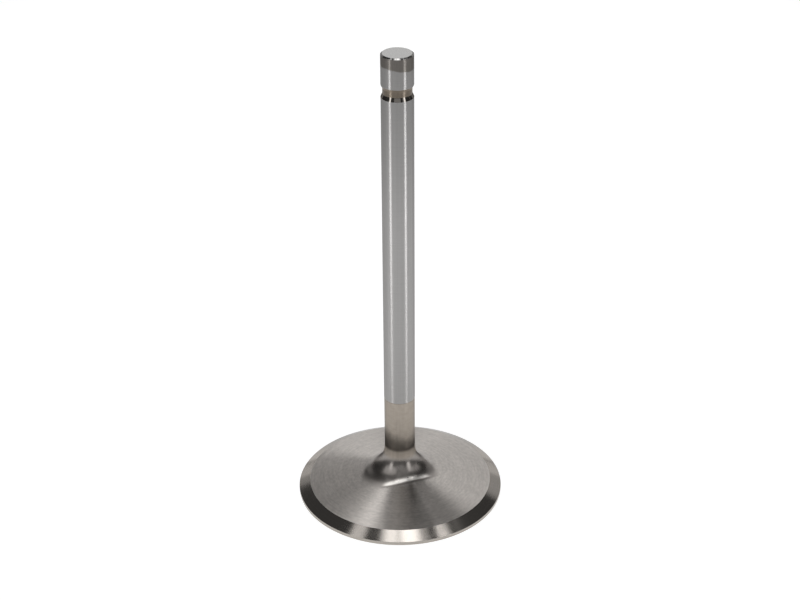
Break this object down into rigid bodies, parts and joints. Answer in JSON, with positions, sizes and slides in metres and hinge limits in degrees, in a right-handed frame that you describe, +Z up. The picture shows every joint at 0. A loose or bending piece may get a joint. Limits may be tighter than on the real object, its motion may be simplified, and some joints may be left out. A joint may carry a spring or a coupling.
{
  "type": "engine valve",
  "caption": "Poppet engine valve in one piece: flat-faced disc head with a bevelled seat, filleted neck, straight ground stem, keeper groove and chamfered tip.",
  "frame": {"origin": "centre of the combustion face, which is the lowest face as the valve stands on its head", "axes": "+Z runs up the stem's axis to the tip; +X is to the right of the reference view and -Y faces its camera"},
  "size_m": [0.0582, 0.0582, 0.1332],
  "materials": {
    "valve_steel": "ground and plated stem, bare neck, polished fillet, turned back of the head, ground seat"
  },
  "bodies": {
    "root": {"valve": "valve_steel"}
  },
  "joints": []
}
